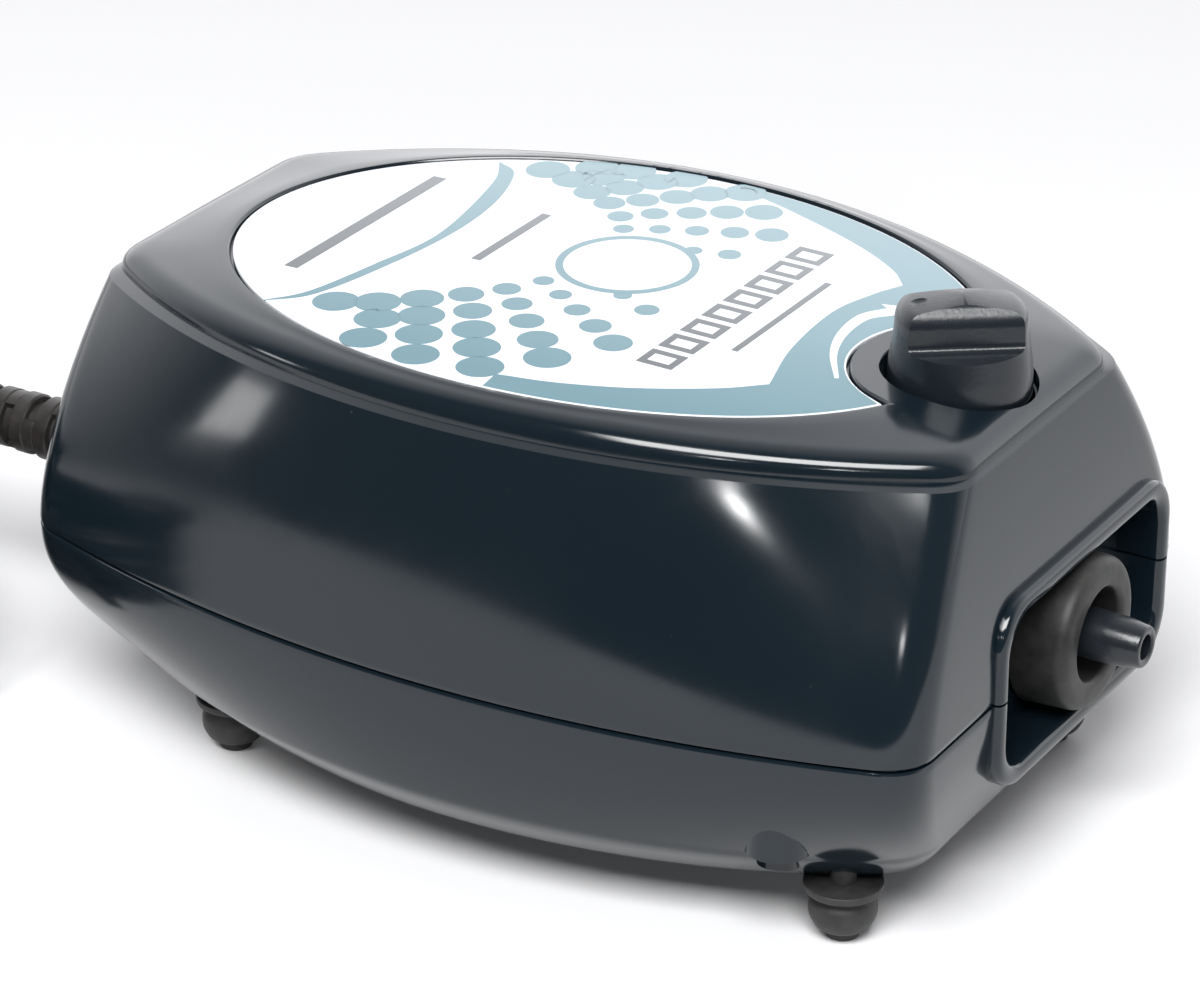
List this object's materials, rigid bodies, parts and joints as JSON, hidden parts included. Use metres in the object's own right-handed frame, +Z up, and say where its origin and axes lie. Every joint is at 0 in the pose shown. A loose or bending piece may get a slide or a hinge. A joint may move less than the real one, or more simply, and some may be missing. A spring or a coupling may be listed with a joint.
{
  "type": "aquarium air pump",
  "caption": "Glossy oval-topped aquarium air pump with a turning flow knob, a rubber-cushioned outlet nozzle, rubber feet and a coiled mains lead with its plug.",
  "frame": {"origin": "on the floor, under the middle of the pump from the back of its casing to the tip of its outlet nozzle; the mains lead isn't counted", "axes": "+X towards the outlet nozzle, +Y to the pump's left seen from behind, +Z up"},
  "size_m": [0.2266, 0.1294, 0.0684],
  "materials": {
    "casing": "high gloss, dark navy-black",
    "label": "printed white and teal, satin",
    "knob": "glossy",
    "grommet_rubber": "matte",
    "foot_rubber": "matte",
    "black_rubber": "matte",
    "relief": "matte, moulded",
    "lead": "smooth flexible PVC",
    "plug": "fine moulded grain",
    "nozzle": "satin",
    "steel": "zinc plated",
    "lamination": "oiled sheet edges",
    "copper": "enamelled copper wire",
    "brass": "nickel-free brass",
    "nylon": "natural nylon",
    "board": "solder mask",
    "silicone": "translucent",
    "magnet": "ferrite",
    "aluminium": "stamped",
    "felt": "wool felt"
  },
  "bodies": {
    "pump": {"lower_casing": "casing", "upper_casing": "casing", "top_label": "label", "casing_screw_front_right": "steel", "casing_screw_front_left": "steel", "casing_screw_rear_right": "steel", "casing_screw_rear_left": "steel", "foot_front_right": "foot_rubber", "foot_front_left": "foot_rubber", "foot_rear_right": "foot_rubber", "foot_rear_left": "foot_rubber", "potentiometer": "steel", "potentiometer_nut": "steel", "control_board": "board", "board_capacitor": "nylon", "board_triac": "magnet", "outlet_panel": "casing", "outlet_grommet": "grommet_rubber", "outlet_nozzle": "nozzle", "outlet_hose": "silicone", "mechanism_plate": "steel", "damper_front_right": "black_rubber", "damper_front_left": "black_rubber", "damper_rear_right": "black_rubber", "damper_rear_left": "black_rubber", "coil_core": "lamination", "coil_bobbin": "nylon", "coil_winding": "copper", "pivot_post": "steel", "pivot_bush": "black_rubber", "pump_head": "nylon", "valve_plate": "nylon", "head_cover": "nylon", "diaphragm": "black_rubber", "diaphragm_ring": "nylon", "filter_cover": "casing", "intake_felt": "felt", "strain_relief": "relief", "mains_lead": "lead", "lead_coil": "lead", "coil_tie": "black_rubber", "plug_lead": "lead", "plug_body": "plug", "plug_pin_line": "brass", "plug_pin_neutral": "brass"},
    "knob": {"control_knob": "knob", "potentiometer_shaft": "nylon"},
    "arm": {"vibrating_arm": "aluminium", "arm_magnet": "magnet", "arm_spacer": "nylon", "diaphragm_clamp": "nylon", "diaphragm_screw": "steel", "diaphragm_nut": "steel"},
    "inlet_valve": {"inlet_flap": "silicone"},
    "outlet_valve": {"outlet_flap": "silicone"}
  },
  "joints": [
    {"name": "knob_turn", "type": "hinge", "parent": "pump", "child": "knob", "pos_m": [0.04265, 0, 0.06], "axis": [0, 0, 1], "range_deg": [-270, 0]},
    {"name": "arm_swing", "type": "hinge", "parent": "pump", "child": "arm", "pos_m": [0.02985, 0.01725, 0.029], "axis": [0, 0, 1], "range_deg": [-1.2, 1.2], "stiffness_Nm_per_rad": 3, "deforming": ["diaphragm"]},
    {"name": "inlet_flap_swing", "type": "hinge", "parent": "pump", "child": "inlet_valve", "pos_m": [-0.00015, -0.00565, 0.0348], "axis": [1, 0, 0], "range_deg": [0, 12], "stiffness_Nm_per_rad": 0.0001},
    {"name": "outlet_flap_swing", "type": "hinge", "parent": "pump", "child": "outlet_valve", "pos_m": [0.00985, -0.00895, 0.0348], "axis": [1, 0, 0], "range_deg": [-12, 0], "stiffness_Nm_per_rad": 0.0001}
  ]
}
